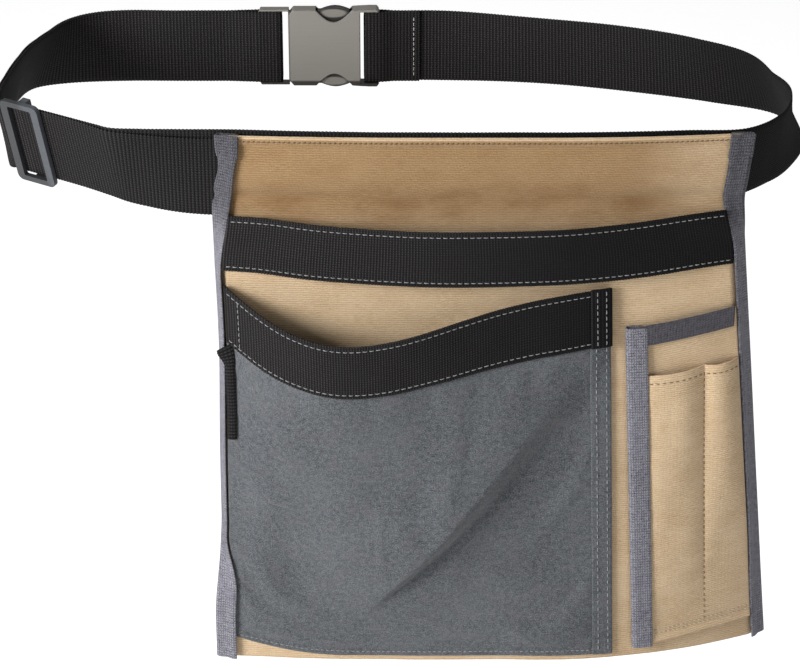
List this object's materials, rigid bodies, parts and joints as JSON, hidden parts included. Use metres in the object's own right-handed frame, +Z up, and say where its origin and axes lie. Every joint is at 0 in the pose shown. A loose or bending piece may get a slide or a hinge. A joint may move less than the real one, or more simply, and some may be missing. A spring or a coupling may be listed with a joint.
{
  "type": "tool belt",
  "caption": "Canvas tool apron with pockets and a tool band, on an adjustable webbing waist belt with a side-release buckle and a tri-glide.",
  "frame": {"origin": "on the wearer's side of the waist belt, behind the middle of the apron and level with the middle of the belt", "axes": "+Z up, -Y out of the apron's front, away from the wearer, +X to the right as the apron is seen from its front"},
  "size_m": [0.5272, 0.2833, 0.3737],
  "materials": {
    "tan_canvas": "woven cotton canvas",
    "grey_canvas": "heathered woven canvas",
    "black_webbing": "ribbed polypropylene webbing",
    "grey_tape": "heathered binding tape",
    "buckle_plastic": "satin moulded",
    "glide_plastic": "satin moulded",
    "light_thread": "sewing thread",
    "brown_thread": "sewing thread"
  },
  "bodies": {
    "apron": {"back_panel": "tan_canvas", "edge_binding_left": "grey_tape", "edge_binding_right": "grey_tape", "seam_top_hem": "brown_thread", "tool_loop_band": "black_webbing", "main_pocket": "grey_canvas", "main_pocket_rim": "black_webbing", "seam_pocket_inner": "light_thread", "seam_pocket_outer": "light_thread", "side_pocket": "tan_canvas", "side_pocket_binding_left": "grey_tape", "side_pocket_binding_top": "grey_tape", "pen_slots": "tan_canvas", "seam_pen_divider": "brown_thread", "waist_strap": "black_webbing", "waist_strap_return": "black_webbing", "seam_strap_fold": "light_thread", "buckle_female": "buckle_plastic"},
    "buckle_insert": {"buckle_male": "buckle_plastic", "strap_fold_male": "black_webbing"},
    "upper_prong": {"prong_upper": "buckle_plastic"},
    "lower_prong": {"prong_lower": "buckle_plastic"},
    "glide": {"tri_glide": "glide_plastic"},
    "side_loop": {"hanging_loop": "black_webbing"}
  },
  "joints": [
    {"name": "buckle_pull", "type": "slide", "parent": "apron", "child": "buckle_insert", "axis": [-1, 0, 0], "range_m": [0, 0.045], "deforming": ["prong_upper", "prong_lower"]},
    {"name": "upper_prong_squeeze", "type": "hinge", "parent": "buckle_insert", "child": "upper_prong", "pos_m": [-0.1226, 0.23575, 0.018], "axis": [0, 1, 0], "range_deg": [0, 10], "stiffness_Nm_per_rad": 0.05},
    {"name": "lower_prong_squeeze", "type": "hinge", "parent": "buckle_insert", "child": "lower_prong", "pos_m": [-0.1226, 0.23575, -0.018], "axis": [0, 1, 0], "range_deg": [-10, 0], "stiffness_Nm_per_rad": 0.05},
    {"name": "glide_slide", "type": "slide", "parent": "apron", "child": "glide", "axis": [0.819, -0.5738, 0], "range_m": [0, 0.04]},
    {"name": "side_loop_swing", "type": "hinge", "parent": "apron", "child": "side_loop", "pos_m": [-0.1615, -0.00615, -0.1185], "axis": [-1, 0, 0], "range_deg": [0, 80]}
  ],
  "couplings": [
    {"joint": "lower_prong_squeeze", "follows": "upper_prong_squeeze", "ratio": -1}
  ]
}
